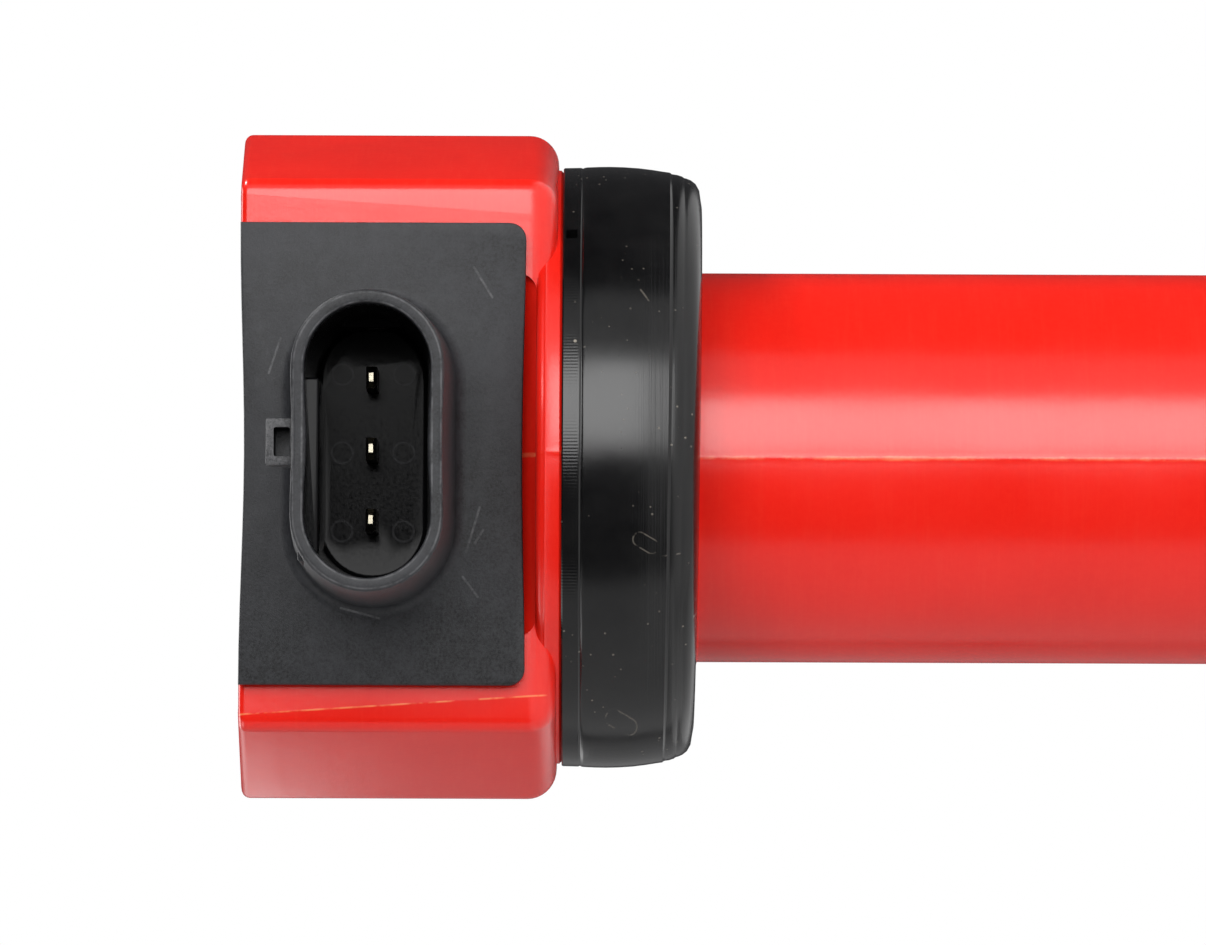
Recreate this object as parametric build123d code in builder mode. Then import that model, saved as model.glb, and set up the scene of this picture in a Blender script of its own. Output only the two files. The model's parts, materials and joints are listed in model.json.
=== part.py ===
"""Plug-top ignition coil: a square head with a sealed three-way connector, a round
well seal, a long pencil tube with the windings inside, and a silicone plug boot.

Frame: +Z runs up the tube's axis towards the head, the connector faces -Y, and the
origin is on the axis, in the plane where the seal's underside seats. Millimetres.
"""

import os
from math import cos, radians, sin, sqrt

from build123d import *

# ------------------------------------------------------------ driving dimensions
# Head, seal and tube, outside
tube_radius, tube_bottom = 12.0, -86.0
seal_land_radius = 12.4  # raised land of the tube that the seal grips
seal_radius = 18.55
head_bottom, head_top = 8.6, 28.0
head_half_width = 20.5  # across X, in the plane of the axis
crease_half_width, crease_depth = 16.5, 14.5  # where the side walls meet the front
face_depth = 14.6  # flat front and back faces, from the axis
face_half_width_top, face_half_width_bottom = 15.7, 14.4
flange_radius, flange_bottom, flange_height = 18.3, 8.3, 1.55  # disc the seal sits against

# Connector on the front face
plate_half_width, plate_bottom, plate_top, plate_thickness = 13.9, 10.45, 27.65, 1.0
socket_z = 19.6
rim_length, rim_width, rim_depth = 17.7, 9.0, 30.4  # shroud, outside, at its rim
base_length, base_width = 18.5, 9.8  # shroud, outside, at the plate
shroud_wall = 0.8
socket_floor_depth, socket_step_depth = 16.2, 21.0
terminal_pitch, terminal_tip_depth = 4.23, 21.4
blade_width, blade_thickness = 1.3, 0.64

# Walls and clearances
wall, tube_wall = 1.8, 1.3
touch_gap = 0.03  # between curved faces of pieces that are bonded or gripped
slot_gap = 0.1  # round the connector's neck in the case's slot

# Windings, from the axis outwards
core_radius, core_top, core_bottom = 4.1, 1.0, -64.0
magnet_height, pad_height = 3.0, 1.5
secondary_bore, secondary_hub, secondary_flange = 4.4, 5.3, 7.3
primary_bore, primary_hub, primary_flange = 7.5, 8.1, 9.6
sleeve_inner, sleeve_outer = 9.8, 10.5
bobbin_top, secondary_bottom, primary_bottom = 7.0, -75.0, -70.0

# Nozzle, boot and sprung contact
nozzle_top_radius, nozzle_tip_radius, nozzle_bottom = 7.9, 7.3, -104.0
nozzle_bore = 3.6
boot_top, boot_bottom = tube_bottom - 0.5, -140.0
boot_radius, boot_collar_radius = 10.2, 11.0
grip_clearance = 0.05
boot_passage, plug_bore, plug_bore_top = 3.8, 5.15, -121.5
resistor_top, resistor_bottom = tube_bottom - 1.0, -101.5
cap_radius, cap_wall, cap_floor, cap_height = 3.2, 0.4, 1.0, 6.0
cap_bottom = -117.5
spring_wire, spring_coil_radius, spring_turns = 0.7, 2.3, 8

# Driver board in the head
board_bottom, board_thickness = 13.0, 1.0
board_half_width, board_half_depth = 14.5, 10.3
potting_top = 26.7

bore_radius = tube_radius - tube_wall
plate_face = face_depth + plate_thickness
cavity_floor = head_bottom + wall
tube_floor = tube_bottom + 3.0
board_top = board_bottom + board_thickness
terminals = {
    "terminal_supply": terminal_pitch,
    "terminal_ground": 0.0,
    "terminal_signal": -terminal_pitch,
}
pieces = {}


def keep(builder, name):
    """Labels a finished piece and keeps it under its name."""
    builder.part.label = name
    pieces[name] = builder.part


def depth_plane(depth):
    """A plane parallel to the connector's face at a depth towards -Y.

    Its local X is the row's +X, its local Y is +Z, and its normal points to -Y.
    """
    return Plane(origin=(0, -depth, 0), x_dir=(1, 0, 0), z_dir=(0, -1, 0))


def head_outline(face_half_width, inset=0.0):
    """The head's section in the open sketch: flat front and back, leaning side walls."""
    corner = (face_half_width - inset * 0.4, face_depth - inset)
    crease = (crease_half_width - inset * 0.9, crease_depth - inset * 0.85)
    right = [(x, -y) for x, y in (corner, crease)]
    right += [(head_half_width - inset, 0), crease, corner]
    Polygon(*right, *[(-x, y) for x, y in reversed(right)], align=None)


def ring(inner, outer, low, high):
    """A plain ring about the axis, added to the open part."""
    with BuildSketch(Plane.XY.offset(low)) as section:
        Circle(outer)
        Circle(inner, mode=Mode.SUBTRACT)
    extrude(section.sketch, amount=high - low)


def post(x, y, radius, low, high, mode=Mode.ADD):
    """An upright round post, combined with the open part."""
    with BuildSketch(Plane.XY.offset(low)) as section:
        with Locations((x, y)):
            Circle(radius)
    extrude(section.sketch, amount=high - low, mode=mode)


def disc(radius, low, high, mode=Mode.ADD):
    """A round disc on the axis, combined with the open part."""
    post(0, 0, radius, low, high, mode)


def slab(x_limits, y_limits, z_limits, mode=Mode.ADD):
    """A rectangular block given by its limits, combined with the open part."""
    limits = (x_limits, y_limits, z_limits)
    with Locations(tuple((low + high) / 2 for low, high in limits)):
        Box(*[high - low for low, high in limits], mode=mode)


# ------------------------------------------------------------ coil case
# One moulding: head cup, round flange, tube and high-tension nozzle.
underside_radius, rim_radius, crease_radius, flange_edge_radius = 1.8, 0.5, 1.5, 0.45
slot_half_width, slot_bottom = 12.4, plate_bottom + 1.75
boss_radius, boss_x, boss_y = 1.6, 12.0, 7.5
bosses = [(x, y) for x in (-boss_x, boss_x) for y in (-boss_y, boss_y)]
scoop_half_width, scoop_depth = 11.2, 0.7

with BuildPart() as coil_case:
    with BuildSketch(Plane.XY.offset(head_bottom)):
        head_outline(face_half_width_bottom)
    with BuildSketch(Plane.XY.offset(head_top)):
        head_outline(face_half_width_top)
    loft(ruled=True)
    fillet(coil_case.faces().sort_by(Axis.Z)[0].edges(), underside_radius)
    creases = [
        edge
        for edge in coil_case.edges()
        if edge.length > 15
        and abs(abs(edge.center().X) - crease_half_width) < 0.3
        and abs(edge.center().Y) > crease_depth - 0.5
    ]
    fillet(creases, crease_radius)
    fillet(coil_case.faces().sort_by(Axis.Z)[-1].edges(), rim_radius)
    with BuildSketch(Plane.XY.offset(cavity_floor)):
        head_outline(face_half_width_bottom - 0.3, inset=wall)
    extrude(amount=head_top - cavity_floor, mode=Mode.SUBTRACT)
    slab(
        (-slot_half_width, slot_half_width),
        (-face_depth - 1, -face_depth + wall + 1),
        (slot_bottom, head_top + 1),
        mode=Mode.SUBTRACT,
    )
    slab(
        (-scoop_half_width, scoop_half_width),
        (-face_depth - 1, -face_depth + scoop_depth),
        (flange_bottom + flange_height, plate_bottom),
        mode=Mode.SUBTRACT,
    )
    disc(flange_radius, flange_bottom, flange_bottom + flange_height)
    flange_edges = [
        edge
        for edge in coil_case.edges().filter_by(GeomType.CIRCLE)
        if abs(edge.radius - flange_radius) < 0.01 and edge.center().Z > flange_bottom + 1
    ]
    fillet(flange_edges, flange_edge_radius)
    for x, y in bosses:
        post(x, y, boss_radius, cavity_floor - 0.5, board_bottom)
    with BuildSketch(Plane.XZ):
        with BuildLine():
            Polyline(
                (0, head_bottom + 0.5),
                (seal_land_radius, head_bottom + 0.5),
                (seal_land_radius, 0),
                (tube_radius, 0),
                (tube_radius, tube_bottom + 1.2),
                (tube_radius - 1.2, tube_bottom),
                (nozzle_top_radius, tube_bottom),
                (nozzle_tip_radius, nozzle_bottom + 1.0),
                (nozzle_tip_radius - 1.0, nozzle_bottom),
                (0, nozzle_bottom),
                close=True,
            )
        make_face()
    revolve(axis=Axis.Z)
    disc(bore_radius, tube_floor, cavity_floor, mode=Mode.SUBTRACT)
    disc(nozzle_bore, nozzle_bottom, tube_floor, mode=Mode.SUBTRACT)
keep(coil_case, "coil_case")

# ------------------------------------------------------------ terminals
# Each blade runs in through the connector, turns down and ends in a foot on the board.
bend_depth, foot_length = 9.5, 2.2
for name, x in terminals.items():
    with BuildPart() as terminal:
        with BuildSketch(Plane(origin=(x - blade_width / 2, 0, 0), x_dir=(0, 1, 0), z_dir=(1, 0, 0))):
            half = blade_thickness / 2
            Polygon(
                (-terminal_tip_depth, socket_z - half * 0.4),
                (-terminal_tip_depth + 0.9, socket_z - half),
                (-bend_depth - half, socket_z - half),
                (-bend_depth - half, board_top),
                (-bend_depth + foot_length, board_top),
                (-bend_depth + foot_length, board_top + blade_thickness),
                (-bend_depth + half, board_top + blade_thickness),
                (-bend_depth + half, socket_z + half),
                (-terminal_tip_depth + 0.9, socket_z + half),
                (-terminal_tip_depth, socket_z + half * 0.4),
                align=None,
            )
        extrude(amount=blade_width)
        tip_edges = terminal.faces().sort_by(Axis.Y)[0].edges().filter_by(Axis.Z)
        chamfer(tip_edges, 0.4)
    keep(terminal, name)

# ------------------------------------------------------------ connector body
# Plate, neck and inner flange slide down into the case's slot; the shroud stands out.
plate_corner, plate_bow_top, plate_bow_bottom = 1.0, 0.28, 0.2
neck_half_width, neck_top = slot_half_width - slot_gap, plate_top - 0.6
flange_half_width, flange_thickness = 13.0, 1.1
neck_back = face_depth - wall - 0.05
root_radius, rim_edge_radius = 0.8, 0.25
rib_left, rib_right, rib_thickness, rib_top_depth = -7.0, 3.8, 0.8, 28.0
ledge_from, ledge_span = 7.2, 10.0
barb_half_width, barb_height, barb_front, barb_back = 1.38, 1.5, 28.2, 25.2
pocket_half_width, pocket_depth, pocket_low, pocket_high = 0.88, 1.4, 0.4, 1.4
barb_sink = 0.3  # how far the barb's foot runs into the shroud
barb_base = socket_z + rim_width / 2 - barb_sink

with BuildPart() as connector_body:
    with BuildSketch(depth_plane(face_depth)) as plate_sketch:
        with BuildLine():
            top_left, top_right = (-plate_half_width, plate_top), (plate_half_width, plate_top)
            low_left, low_right = (-plate_half_width, plate_bottom), (plate_half_width, plate_bottom)
            ThreePointArc(top_left, (0, plate_top - plate_bow_top), top_right)
            Line(top_right, low_right)
            ThreePointArc(low_right, (0, plate_bottom + plate_bow_bottom), low_left)
            Line(low_left, top_left)
        make_face()
        fillet(plate_sketch.vertices().group_by(Axis.Y)[0], plate_corner)
    extrude(amount=plate_thickness)
    slab(
        (-neck_half_width, neck_half_width),
        (-face_depth, -neck_back),
        (slot_bottom + slot_gap, neck_top),
    )
    slab(
        (-flange_half_width, flange_half_width),
        (-neck_back, -neck_back + flange_thickness),
        (slot_bottom - 1.0, potting_top),
    )
    with BuildSketch(depth_plane(plate_face)):
        with Locations((0, socket_z)):
            SlotOverall(base_length, base_width)
    with BuildSketch(depth_plane(rim_depth)):
        with Locations((0, socket_z)):
            SlotOverall(rim_length, rim_width)
    loft()
    root_edges = [
        edge
        for edge in connector_body.edges()
        if abs(edge.center().Y + plate_face) < 0.01
        and abs(edge.center().X) < base_length / 2
        and abs(edge.center().Z - socket_z) < base_width / 2 + 0.1
    ]
    fillet(root_edges, root_radius)
    with BuildSketch(depth_plane(socket_floor_depth)):
        with Locations((0, socket_z)):
            SlotOverall(rim_length - 2 * shroud_wall - 0.9, rim_width - 2 * shroud_wall - 0.9)
    with BuildSketch(depth_plane(rim_depth)):
        with Locations((0, socket_z)):
            SlotOverall(rim_length - 2 * shroud_wall, rim_width - 2 * shroud_wall)
    loft(mode=Mode.SUBTRACT)
    fillet(connector_body.faces().sort_by(Axis.Y)[0].edges(), rim_edge_radius)
    with BuildSketch(depth_plane(socket_floor_depth)):
        with Locations((0, socket_z)):
            SlotOverall(rim_length - shroud_wall, rim_width - shroud_wall)
        inner_wall_z = socket_z + rim_width / 2 - shroud_wall
        with Locations(((rib_left + rib_right) / 2, inner_wall_z)):
            Rectangle(rib_right - rib_left, 2 * rib_thickness, mode=Mode.INTERSECT)
    extrude(amount=rib_top_depth - socket_floor_depth)
    with BuildSketch(depth_plane(socket_floor_depth)):
        with Locations((0, socket_z)):
            SlotOverall(rim_length - shroud_wall, rim_width - shroud_wall)
        with Locations((ledge_from + ledge_span / 2, socket_z)):
            Rectangle(ledge_span, rim_width, mode=Mode.INTERSECT)
    extrude(amount=socket_step_depth - socket_floor_depth)
    with BuildSketch(Plane(origin=(-barb_half_width, 0, 0), x_dir=(0, 1, 0), z_dir=(1, 0, 0))):
        Polygon(
            (-barb_front, barb_base),
            (-barb_front, barb_base + barb_sink + barb_height),
            (-barb_back - 1.0, barb_base + barb_sink + barb_height),
            (-barb_back + 1.2, barb_base),
            align=None,
        )
    extrude(amount=2 * barb_half_width)
    slab(
        (-pocket_half_width, pocket_half_width),
        (-barb_front, -barb_front + pocket_depth),
        (barb_base + pocket_low, barb_base + pocket_high),
        mode=Mode.SUBTRACT,
    )
    for name in terminals:
        add(pieces[name], mode=Mode.SUBTRACT)
keep(connector_body, "connector_body")

# ------------------------------------------------------------ well seal
# Rubber ring: a sleeve on the tube's land, a web under the head and an outer skirt.
groove_inner, groove_outer, groove_top = 14.0, 15.5, 6.0
collar_bottom, crown_z, lip_top = 7.05, 5.8, 1.8

with BuildPart() as well_seal:
    with BuildSketch(Plane.XZ) as seal_profile:
        with BuildLine():
            start = (seal_land_radius + touch_gap, 0)
            Polyline(
                start,
                (seal_land_radius + touch_gap, flange_bottom),
                (flange_radius, flange_bottom),
                (seal_radius - 0.1, collar_bottom + 0.15),
                (seal_radius - 0.18, collar_bottom),
                (seal_radius - 0.05, collar_bottom - 0.2),
            )
            Spline(
                (seal_radius - 0.05, collar_bottom - 0.2),
                (seal_radius, crown_z),
                (seal_radius - 0.2, 3.5),
                (seal_radius - 0.55, lip_top),
            )
            Polyline(
                (seal_radius - 0.55, lip_top),
                (seal_radius - 0.7, lip_top - 0.1),
                (seal_radius - 0.85, 1.15),
            )
            ThreePointArc(
                (seal_radius - 0.85, 1.15),
                (seal_radius - 1.2, 0.37),
                (seal_radius - 2.1, 0),
            )
            Polyline(
                (seal_radius - 2.1, 0),
                (groove_outer, 0),
                (groove_outer, groove_top),
                (groove_inner, groove_top),
                (groove_inner, 0),
                start,
            )
        make_face()
    revolve(axis=Axis.Z)
keep(well_seal, "well_seal")

# ------------------------------------------------------------ magnetic circuit
# The core is a stack of iron strips, widest in the middle, so its section is nearly round.
strip_thickness, strips = 0.74, 11

with BuildPart() as core_stack:
    with BuildSketch(Plane.XY.offset(core_bottom)):
        for index in range(strips):
            y = (index - (strips - 1) / 2) * strip_thickness
            reach = abs(y) + strip_thickness / 2
            with Locations((0, y)):
                Rectangle(2 * sqrt(core_radius**2 - reach**2), strip_thickness)
    extrude(amount=core_top - core_bottom)
keep(core_stack, "core_stack")

ends = {
    "upper_magnet": (core_top, magnet_height, core_radius),
    "upper_core_pad": (core_top + magnet_height, pad_height, core_radius),
    "lower_magnet": (core_bottom - magnet_height, magnet_height, core_radius),
    "lower_core_pad": (core_bottom - magnet_height - pad_height, pad_height, core_radius),
}
for name, (low, height, radius) in ends.items():
    with BuildPart() as end_piece:
        disc(radius, low, low + height)
        chamfer(end_piece.edges().filter_by(GeomType.CIRCLE), 0.25)
    keep(end_piece, name)

sleeve_top, sleeve_bottom, sleeve_slit = 3.0, -67.0, 1.2
with BuildPart() as magnetic_sleeve:
    ring(sleeve_inner, sleeve_outer, sleeve_bottom, sleeve_top)
    slab(
        (-sleeve_slit / 2, sleeve_slit / 2),
        (0, sleeve_outer + 1),
        (sleeve_bottom, sleeve_top),
        mode=Mode.SUBTRACT,
    )
keep(magnetic_sleeve, "magnetic_sleeve")

# ------------------------------------------------------------ windings on their bobbins
chamber_count, chamber_wall = 12, 0.8
layer_depth_bottom, layer_depth_step = 1.75, 0.05  # each section is a little shallower
chamber_top, chamber_bottom = 2.0, -68.0
chamber_pitch = (chamber_top - chamber_bottom) / chamber_count
lead_radius, lead_ring, lead_angle = 0.45, 8.8, 15
lead_xs = [side * lead_ring * cos(radians(lead_angle)) for side in (1, -1)]
lead_y = lead_ring * sin(radians(lead_angle))
earth_lead_radius, earth_lead_y = 0.3, -6.3
bore_floor, bore_floor_thickness = core_bottom - magnet_height - pad_height, 2.0
end_flange_thickness = 1.5

with BuildPart() as secondary_bobbin:
    ring(secondary_bore, secondary_hub, secondary_bottom, bobbin_top)
    disc(secondary_bore, bore_floor - bore_floor_thickness, bore_floor)
    for index in range(chamber_count + 1):
        middle = chamber_bottom + index * chamber_pitch
        ring(secondary_hub - 0.1, secondary_flange, middle - chamber_wall / 2, middle + chamber_wall / 2)
    ring(secondary_hub - 0.1, secondary_flange, bobbin_top - end_flange_thickness, bobbin_top)
    hole_low, hole_high = bobbin_top - end_flange_thickness - 0.1, bobbin_top + 0.1
    post(0, earth_lead_y, earth_lead_radius + touch_gap, hole_low, hole_high, Mode.SUBTRACT)
keep(secondary_bobbin, "secondary_bobbin")

with BuildPart() as secondary_winding:
    for index in range(chamber_count):
        low = chamber_bottom + index * chamber_pitch + chamber_wall / 2 + touch_gap
        depth = layer_depth_bottom - layer_depth_step * index
        high = low + chamber_pitch - chamber_wall - 2 * touch_gap
        ring(secondary_hub + touch_gap, secondary_hub + depth, low, high)
keep(secondary_winding, "secondary_winding")

with BuildPart() as primary_bobbin:
    ring(primary_bore, primary_hub, primary_bottom, bobbin_top)
    for low in (primary_bottom, bobbin_top - end_flange_thickness):
        ring(primary_hub - 0.1, primary_flange, low, low + end_flange_thickness)
    for x in lead_xs:
        post(x, lead_y, lead_radius + touch_gap, hole_low, hole_high, Mode.SUBTRACT)
keep(primary_bobbin, "primary_bobbin")

with BuildPart() as primary_winding:
    winding_low = primary_bottom + end_flange_thickness + touch_gap
    winding_top = bobbin_top - end_flange_thickness - touch_gap
    ring(primary_hub + touch_gap, primary_flange - 0.3, winding_low, winding_top)
keep(primary_winding, "primary_winding")

lead_top = board_top + 1.2
for name, x in zip(("primary_lead_start", "primary_lead_end"), lead_xs):
    with BuildPart() as primary_lead:
        post(x, lead_y, lead_radius, winding_top, lead_top)
        fillet(primary_lead.edges().sort_by(Axis.Z)[-1], 0.2)
    keep(primary_lead, name)

with BuildPart() as secondary_earth_lead:
    post(0, earth_lead_y, earth_lead_radius, bobbin_top - end_flange_thickness, lead_top)
    fillet(secondary_earth_lead.edges().sort_by(Axis.Z)[-1], 0.15)
keep(secondary_earth_lead, "secondary_earth_lead")

# ------------------------------------------------------------ driver board
with BuildPart() as igniter_board:
    slab(
        (-board_half_width, board_half_width),
        (-board_half_depth, board_half_depth),
        (board_bottom, board_top),
    )
    fillet(igniter_board.edges().filter_by(Axis.Z), 1.0)
    for x in lead_xs:
        post(x, lead_y, lead_radius + touch_gap, board_bottom, board_top, Mode.SUBTRACT)
    post(0, earth_lead_y, earth_lead_radius + touch_gap, board_bottom, board_top, Mode.SUBTRACT)
keep(igniter_board, "igniter_board")

spreader_half_width, spreader_front, spreader_back, spreader_height = 7.0, -1.0, 9.5, 0.9
spreader_top = board_top + spreader_height
with BuildPart() as heat_spreader:
    slab(
        (-spreader_half_width, spreader_half_width),
        (spreader_front, spreader_back),
        (board_top, spreader_top),
    )
    fillet(heat_spreader.edges().filter_by(Axis.Z), 0.6)
keep(heat_spreader, "heat_spreader")

switch_half_width, switch_front, switch_back, switch_height = 3.3, 1.0, 7.2, 2.3
tab_half_width, tab_back, tab_thickness = 2.6, 8.6, 0.55
switch_lead_pitch, switch_lead_width, switch_lead_thickness = 2.28, 0.8, 0.5
switch_lead_end, switch_lead_low = -2.2, spreader_top + 0.9
switch_lead_high = switch_lead_low + switch_lead_thickness
with BuildPart() as igbt_switch:
    slab(
        (-switch_half_width, switch_half_width),
        (switch_front, switch_back),
        (spreader_top, spreader_top + switch_height),
    )
    chamfer(igbt_switch.faces().sort_by(Axis.Z)[-1].edges(), 0.3)
    slab(
        (-tab_half_width, tab_half_width),
        (switch_back, tab_back),
        (spreader_top, spreader_top + tab_thickness),
    )
    for x in (-switch_lead_pitch, 0, switch_lead_pitch):
        lead_span = (x - switch_lead_width / 2, x + switch_lead_width / 2)
        slab(lead_span, (switch_lead_end, switch_front), (switch_lead_low, switch_lead_high))
        foot_span = (switch_lead_end - switch_lead_thickness, switch_lead_end)
        slab(lead_span, foot_span, (board_top, switch_lead_high))
keep(igbt_switch, "igbt_switch")

chip_x, chip_y, chip_half_width, chip_half_length = 10.9, -3.8, 1.95, 2.45
chip_stand_off, chip_height = 0.15, 1.6
chip_leads, chip_lead_pitch, chip_lead_reach = 4, 1.27, 3.0
chip_lead_half_width, chip_lead_thickness = 0.2, 0.25
with BuildPart() as driver_chip:
    slab(
        (chip_x - chip_half_width, chip_x + chip_half_width),
        (chip_y - chip_half_length, chip_y + chip_half_length),
        (board_top + chip_stand_off, board_top + chip_height),
    )
    chamfer(driver_chip.faces().sort_by(Axis.Z)[-1].edges(), 0.2)
    for index in range(chip_leads):
        y = chip_y + (index - (chip_leads - 1) / 2) * chip_lead_pitch
        slab(
            (chip_x - chip_lead_reach, chip_x + chip_lead_reach),
            (y - chip_lead_half_width, y + chip_lead_half_width),
            (board_top, board_top + chip_lead_thickness),
        )
keep(driver_chip, "driver_chip")

# Pairs of small chips: the two positions along Y and the height of each kind
chip_parts = {"filter_capacitors": ((-4.6, -1.4), 1.5), "gate_resistors": ((2.6, 5.8), 0.6)}
passive_x_limits, passive_half_width = (-12.6, -9.4), 0.8
for name, (ys, height) in chip_parts.items():
    with BuildPart() as chips:
        for y in ys:
            slab(
                passive_x_limits,
                (y - passive_half_width, y + passive_half_width),
                (board_top, board_top + height),
            )
        fillet(chips.edges().filter_by(Axis.Z), 0.15)
    keep(chips, name)

# ------------------------------------------------------------ potting compound
# Resin poured into the head: it fills what the pieces there leave free.
buried = ["connector_body", "igniter_board", "heat_spreader", "igbt_switch", "driver_chip"]
buried += ["filter_capacitors", "gate_resistors", "primary_lead_start", "primary_lead_end"]
buried += ["secondary_earth_lead", *terminals]

with BuildPart() as potting_compound:
    with BuildSketch(Plane.XY.offset(cavity_floor)):
        head_outline(face_half_width_bottom - 0.3, inset=wall)
    extrude(amount=potting_top - cavity_floor)
    disc(bore_radius - touch_gap, bobbin_top, cavity_floor)
    for x, y in bosses:
        post(x, y, boss_radius, cavity_floor, board_bottom, Mode.SUBTRACT)
    for name in buried:
        add(pieces[name], mode=Mode.SUBTRACT)
keep(potting_compound, "potting_compound")

# ------------------------------------------------------------ high-tension end
diode_radius, diode_top, diode_bottom = 1.5, -73.5, -79.5
diode_lead_radius, diode_lead_root = 0.35, 0.5
with BuildPart() as blocking_diode:
    disc(diode_radius, diode_bottom, diode_top)
    fillet(blocking_diode.edges().filter_by(GeomType.CIRCLE), 0.3)
    disc(diode_lead_radius, diode_top - diode_lead_root, bore_floor - bore_floor_thickness)
    disc(diode_lead_radius, tube_floor - 1.0, diode_bottom + diode_lead_root)
keep(blocking_diode, "blocking_diode")

terminal_disc_radius, terminal_disc_height = 5.4, 1.2
with BuildPart() as high_tension_terminal:
    disc(terminal_disc_radius, tube_floor, tube_floor + terminal_disc_height)
    disc(nozzle_bore - grip_clearance, resistor_top, tube_floor)
    lead_hole_radius = diode_lead_radius + touch_gap
    disc(lead_hole_radius, tube_floor - 1.0, tube_floor + terminal_disc_height, mode=Mode.SUBTRACT)
keep(high_tension_terminal, "high_tension_terminal")

resistor_radius, resistor_cap_radius, resistor_cap_length = 2.9, 3.3, 1.6
with BuildPart() as suppression_resistor:
    disc(resistor_radius, resistor_bottom + 0.5, resistor_top - 0.5)
    disc(resistor_cap_radius, resistor_bottom, resistor_bottom + resistor_cap_length)
    disc(resistor_cap_radius, resistor_top - resistor_cap_length, resistor_top)
    fillet(suppression_resistor.edges().group_by(Axis.Z)[0], 0.3)
keep(suppression_resistor, "suppression_resistor")

# ------------------------------------------------------------ sprung contact
spring_top, spring_bottom = resistor_bottom, cap_bottom + cap_floor
spring_height = spring_top - spring_bottom - spring_wire
with BuildPart() as contact_spring:
    with BuildLine(Plane.XY.offset(spring_bottom + spring_wire / 2)) as coil_line:
        Helix(pitch=spring_height / spring_turns, height=spring_height, radius=spring_coil_radius)
    with BuildSketch(Plane(origin=coil_line.line @ 0, z_dir=coil_line.line % 0)):
        Circle(spring_wire / 2 - 0.01)
    sweep(is_frenet=True)
keep(contact_spring, "contact_spring")

with BuildPart() as contact_cap:
    disc(cap_radius, cap_bottom, cap_bottom + cap_height)
    fillet(contact_cap.edges().group_by(Axis.Z)[0], 0.6)
    disc(cap_radius - cap_wall, cap_bottom + cap_floor, cap_bottom + cap_height, mode=Mode.SUBTRACT)
keep(contact_cap, "contact_cap")

# ------------------------------------------------------------ plug boot
collar_height, boot_rib_count, boot_rib_pitch, boot_rib_height = 6.0, 3, 3.2, 0.45
boot_rib_half_width, first_rib_drop = 0.6, 4.5
waist_height, lip_height, lip_stand_out = 9.0, 6.5, 0.3  # from the boot's lower end
nozzle_mouth = nozzle_top_radius + grip_clearance

with BuildPart() as plug_boot:
    with BuildSketch(Plane.XZ):
        with BuildLine():
            Polyline(
                (nozzle_mouth, boot_top),
                (boot_collar_radius - 0.6, boot_top),
                (boot_collar_radius, boot_top - 0.6),
                (boot_collar_radius, boot_top - collar_height),
                (boot_radius, boot_top - collar_height - 1.2),
                (boot_radius - 0.6, boot_bottom + waist_height),
                (boot_radius + lip_stand_out, boot_bottom + lip_height),
                (boot_radius + lip_stand_out, boot_bottom + 0.8),
                (boot_radius - 0.5, boot_bottom),
                (plug_bore + 1.0, boot_bottom),
                (plug_bore, boot_bottom + 1.0),
                (plug_bore, plug_bore_top),
                (boot_passage, plug_bore_top + 1.2),
                (boot_passage, nozzle_bottom - 0.3),
                (nozzle_tip_radius - 1.0 + grip_clearance, nozzle_bottom - 0.3),
                (nozzle_tip_radius + grip_clearance, nozzle_bottom + 0.7),
                close=True,
            )
        make_face()
    revolve(axis=Axis.Z)
    for index in range(boot_rib_count):
        middle = boot_top - collar_height - first_rib_drop - index * boot_rib_pitch
        low, high = middle - boot_rib_half_width, middle + boot_rib_half_width
        ring(boot_radius - 1.0, boot_radius + boot_rib_height, low, high)
    fillet(
        [
            edge
            for edge in plug_boot.edges().filter_by(GeomType.CIRCLE)
            if abs(edge.radius - boot_radius - boot_rib_height) < 0.01
        ],
        0.3,
    )
keep(plug_boot, "plug_boot")

# ------------------------------------------------------------ files
os.makedirs("parts", exist_ok=True)
for name, piece in pieces.items():
    export_step(piece, f"parts/{name}.step")
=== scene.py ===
"""Plug-top ignition coil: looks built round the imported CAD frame.

Lengths are written in millimetres and scaled to metres when a mesh is made. +Z runs up the
tube's axis to the head, the connector faces -Y, and the seal's underside is the plane z = 0.
"""

import json
from math import atan2, cos, exp, pi, radians, sin, sqrt

import bmesh
import bpy
from mathutils import Matrix, Vector, noise


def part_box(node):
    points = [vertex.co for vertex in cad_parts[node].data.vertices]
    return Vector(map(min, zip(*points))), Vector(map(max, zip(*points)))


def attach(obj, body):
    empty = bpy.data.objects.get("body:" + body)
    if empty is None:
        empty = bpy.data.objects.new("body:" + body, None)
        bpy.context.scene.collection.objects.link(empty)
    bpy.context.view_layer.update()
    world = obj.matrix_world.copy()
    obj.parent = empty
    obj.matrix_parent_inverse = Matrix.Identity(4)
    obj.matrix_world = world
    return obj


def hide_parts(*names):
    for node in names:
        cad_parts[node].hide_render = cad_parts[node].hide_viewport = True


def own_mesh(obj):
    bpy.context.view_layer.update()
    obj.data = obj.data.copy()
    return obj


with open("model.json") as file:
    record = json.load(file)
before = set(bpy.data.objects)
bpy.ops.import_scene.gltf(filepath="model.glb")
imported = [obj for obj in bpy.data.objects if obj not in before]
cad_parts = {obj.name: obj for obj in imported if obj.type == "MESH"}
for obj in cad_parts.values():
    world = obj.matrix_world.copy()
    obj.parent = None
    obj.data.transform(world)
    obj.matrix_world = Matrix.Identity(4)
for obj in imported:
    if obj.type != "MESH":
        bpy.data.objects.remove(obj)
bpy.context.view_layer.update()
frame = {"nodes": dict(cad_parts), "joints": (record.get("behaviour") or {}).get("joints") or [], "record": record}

MM = 0.001


def node_box(node):
    """Lowest and highest corner of a CAD node, in millimetres."""
    low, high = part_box(node)
    return [v / MM for v in low], [v / MM for v in high]


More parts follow.
